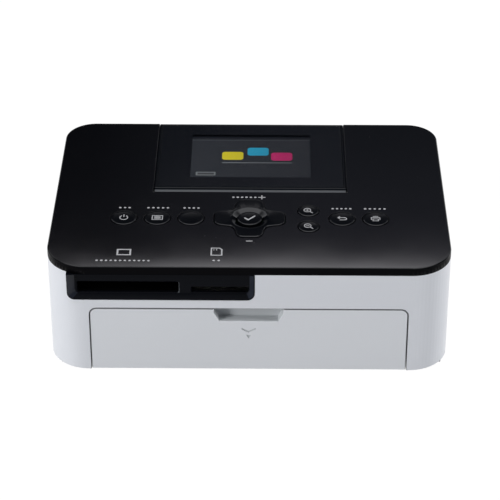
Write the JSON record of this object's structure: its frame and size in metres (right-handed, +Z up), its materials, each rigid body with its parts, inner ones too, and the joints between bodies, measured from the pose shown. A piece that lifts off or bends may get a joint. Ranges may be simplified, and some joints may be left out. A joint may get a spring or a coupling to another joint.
{
  "type": "compact photo printer",
  "caption": "Compact photo printer: white case, glossy black sloping top with tilting screen and keys, card slots, drop-down paper door and side ink door.",
  "frame": {"origin": "middle of the footprint, on the table under the feet", "axes": "+X to the right and along the width, +Y from the front to the back, +Z up"},
  "size_m": [0.178, 0.127, 0.0605],
  "materials": {
    "case_white": "satin",
    "base_grey": "matte",
    "foot_rubber": "matte",
    "top_black": "gloss",
    "panel_black": "gloss",
    "door_white": "satin",
    "screen_black": "gloss",
    "screen_clear": "gloss",
    "screen_display": "satin",
    "pin_steel": "brushed",
    "key_black": "gloss",
    "pad_rubber": "matte",
    "board_green": "satin",
    "switch_gold": "satin",
    "screw_steel": "satin",
    "component_dark": "matte",
    "socket_dark": "satin",
    "socket_metal": "satin",
    "inlet_black": "satin",
    "cable_white": "matte",
    "chassis_steel": "satin",
    "motor_steel": "satin",
    "gear_white": "satin",
    "pinion_brass": "satin",
    "roller_rubber": "matte",
    "head_ceramic": "satin",
    "sink_aluminium": "satin",
    "guide_black": "satin",
    "cassette_grey": "satin",
    "film_supply": "gloss",
    "film_used": "gloss",
    "film_clear": "gloss",
    "lever_orange": "satin"
  },
  "bodies": {
    "case": {"outer_shell": "case_white", "lower_case": "base_grey", "feet": "foot_rubber", "top_cover": "top_black", "card_panel": "panel_black", "key_board": "board_green", "key_switches": "switch_gold", "case_screws": "screw_steel", "main_board": "board_green", "board_components": "component_dark", "wide_card_socket": "socket_dark", "narrow_card_socket": "socket_metal", "usb_host_socket": "socket_metal", "power_board": "board_green", "dc_socket": "inlet_black", "usb_device_socket": "socket_metal", "board_cable": "cable_white", "left_side_plate": "chassis_steel", "right_side_plate": "chassis_steel", "tie_bars": "pin_steel", "gear_bracket": "chassis_steel", "drive_motor": "motor_steel", "paper_guide": "guide_black", "ink_cassette": "cassette_grey", "ink_ribbon": "film_clear", "screen_hinge_pins": "pin_steel"},
    "paper_door": {"paper_door": "door_white"},
    "ink_door": {"ink_door": "door_white"},
    "screen": {"screen_frame": "screen_black", "screen_window": "screen_clear", "picture_panel": "screen_display"},
    "power_key": {"power_key": "key_black"},
    "menu_key": {"menu_key": "key_black"},
    "edit_key": {"edit_key": "key_black"},
    "back_key": {"back_key": "key_black"},
    "print_key": {"print_key": "key_black"},
    "zoom_in_key": {"zoom_in_key": "key_black"},
    "zoom_out_key": {"zoom_out_key": "key_black"},
    "ok_key": {"ok_key": "key_black"},
    "four_way_rocker": {"four_way_pad": "pad_rubber"},
    "four_way_key": {"four_way_key": "key_black"},
    "feed_shaft": {"feed_roller": "pin_steel", "feed_gear": "gear_white"},
    "motor_pinion": {"motor_pinion": "pinion_brass"},
    "feed_idler": {"feed_idler": "gear_white"},
    "platen": {"platen_roller": "roller_rubber", "platen_shaft": "pin_steel"},
    "platen_gear": {"platen_gear": "gear_white"},
    "ribbon_idler": {"ribbon_idler": "gear_white"},
    "takeup": {"takeup_gear": "gear_white", "takeup_spool": "film_used"},
    "supply": {"supply_spool": "film_supply"},
    "pinch": {"pinch_roller": "roller_rubber"},
    "pickup": {"pickup_roller": "roller_rubber", "pickup_shaft": "pin_steel", "pickup_gear": "gear_white"},
    "print_head": {"head_arm": "chassis_steel", "thermal_head": "head_ceramic", "heat_sink": "sink_aluminium"},
    "release_lever": {"release_lever": "lever_orange"}
  },
  "joints": [
    {"name": "paper_door_hinge", "type": "hinge", "parent": "case", "child": "paper_door", "pos_m": [0, -0.0588, 0.0066], "axis": [1, 0, 0], "range_deg": [0, 90]},
    {"name": "ink_door_hinge", "type": "hinge", "parent": "case", "child": "ink_door", "pos_m": [0.0843, 0.0072, 0.0066], "axis": [0, 1, 0], "range_deg": [0, 90]},
    {"name": "screen_tilt", "type": "hinge", "parent": "case", "child": "screen", "pos_m": [0, 0.00361, 0.05507], "axis": [1, 0, 0], "range_deg": [0, 45]},
    {"name": "power_key_press", "type": "slide", "parent": "case", "child": "power_key", "axis": [0, 0.0323, -0.9995], "range_m": [0, 0.0006], "stiffness_N_per_m": 300, "springref_m": -0.0008},
    {"name": "menu_key_press", "type": "slide", "parent": "case", "child": "menu_key", "axis": [0, 0.0323, -0.9995], "range_m": [0, 0.0006], "stiffness_N_per_m": 300, "springref_m": -0.0008},
    {"name": "edit_key_press", "type": "slide", "parent": "case", "child": "edit_key", "axis": [0, 0.0323, -0.9995], "range_m": [0, 0.0006], "stiffness_N_per_m": 300, "springref_m": -0.0008},
    {"name": "back_key_press", "type": "slide", "parent": "case", "child": "back_key", "axis": [0, 0.0323, -0.9995], "range_m": [0, 0.0006], "stiffness_N_per_m": 300, "springref_m": -0.0008},
    {"name": "print_key_press", "type": "slide", "parent": "case", "child": "print_key", "axis": [0, 0.0323, -0.9995], "range_m": [0, 0.0006], "stiffness_N_per_m": 300, "springref_m": -0.0008},
    {"name": "zoom_in_key_press", "type": "slide", "parent": "case", "child": "zoom_in_key", "axis": [0, 0.0323, -0.9995], "range_m": [0, 0.0006], "stiffness_N_per_m": 300, "springref_m": -0.0008},
    {"name": "zoom_out_key_press", "type": "slide", "parent": "case", "child": "zoom_out_key", "axis": [0, 0.0323, -0.9995], "range_m": [0, 0.0006], "stiffness_N_per_m": 300, "springref_m": -0.0008},
    {"name": "ok_key_press", "type": "slide", "parent": "case", "child": "ok_key", "axis": [0, 0.0323, -0.9995], "range_m": [0, 0.0006], "stiffness_N_per_m": 300, "springref_m": -0.0008},
    {"name": "four_way_left_right", "type": "hinge", "parent": "case", "child": "four_way_rocker", "pos_m": [0, -0.02304, 0.05272], "axis": [0, 0.9995, 0.0323], "range_deg": [-2, 2], "stiffness_Nm_per_rad": 0.3},
    {"name": "four_way_up_down", "type": "hinge", "parent": "four_way_rocker", "child": "four_way_key", "pos_m": [0, -0.02307, 0.05368], "axis": [1, 0, 0], "range_deg": [-2, 2], "stiffness_Nm_per_rad": 0.3},
    {"name": "feed_spin", "type": "hinge", "parent": "case", "child": "feed_shaft", "pos_m": [0.008, -0.006, 0.023], "axis": [1, 0, 0], "continuous": true},
    {"name": "pinion_spin", "type": "hinge", "parent": "case", "child": "motor_pinion", "pos_m": [0.008, -0.02136, 0.02029], "axis": [1, 0, 0], "continuous": true},
    {"name": "feed_idler_spin", "type": "hinge", "parent": "case", "child": "feed_idler", "pos_m": [0.008, 0.0103, 0.01894], "axis": [1, 0, 0], "continuous": true},
    {"name": "platen_spin", "type": "hinge", "parent": "case", "child": "platen", "pos_m": [0.008, 0.02285, 0.02003], "axis": [1, 0, 0], "continuous": true},
    {"name": "platen_gear_spin", "type": "hinge", "parent": "case", "child": "platen_gear", "pos_m": [0.008, 0.02285, 0.02003], "axis": [1, 0, 0], "continuous": true},
    {"name": "ribbon_idler_spin", "type": "hinge", "parent": "case", "child": "ribbon_idler", "pos_m": [0.008, 0.03182, 0.02755], "axis": [1, 0, 0], "continuous": true},
    {"name": "takeup_spin", "type": "hinge", "parent": "case", "child": "takeup", "pos_m": [0.008, 0.0392, 0.03701], "axis": [1, 0, 0], "continuous": true},
    {"name": "supply_spin", "type": "hinge", "parent": "case", "child": "supply", "pos_m": [0.008, 0.0065, 0.03701], "axis": [1, 0, 0], "continuous": true},
    {"name": "pinch_spin", "type": "hinge", "parent": "case", "child": "pinch", "pos_m": [0.008, -0.006, 0.02865], "axis": [1, 0, 0], "continuous": true},
    {"name": "pickup_spin", "type": "hinge", "parent": "case", "child": "pickup", "pos_m": [0.008, -0.01804, 0.03384], "axis": [1, 0, 0], "continuous": true},
    {"name": "head_lift", "type": "hinge", "parent": "case", "child": "print_head", "pos_m": [0.008, 0.056, 0.04741], "axis": [-1, 0, 0], "range_deg": [0, 2], "stiffness_Nm_per_rad": 1, "springref_deg": -5.73},
    {"name": "lever_turn", "type": "hinge", "parent": "case", "child": "release_lever", "pos_m": [0.0695, -0.0117, 0.03401], "axis": [1, 0, 0], "range_deg": [0, 20], "stiffness_Nm_per_rad": 0.02, "springref_deg": -11.46}
  ],
  "couplings": [
    {"joint": "pinion_spin", "follows": "feed_spin", "ratio": -3.3333},
    {"joint": "feed_idler_spin", "follows": "feed_spin", "ratio": -2.5},
    {"joint": "platen_gear_spin", "follows": "feed_spin", "ratio": 1.5385},
    {"joint": "ribbon_idler_spin", "follows": "feed_spin", "ratio": -3.0769},
    {"joint": "takeup_spin", "follows": "feed_spin", "ratio": 1.4815},
    {"joint": "supply_spin", "follows": "feed_spin", "ratio": 1.0582},
    {"joint": "platen_spin", "follows": "feed_spin", "ratio": 0.50284},
    {"joint": "pinch_spin", "follows": "feed_spin", "ratio": -1.2},
    {"joint": "pickup_spin", "follows": "feed_spin", "ratio": -2.8571}
  ]
}
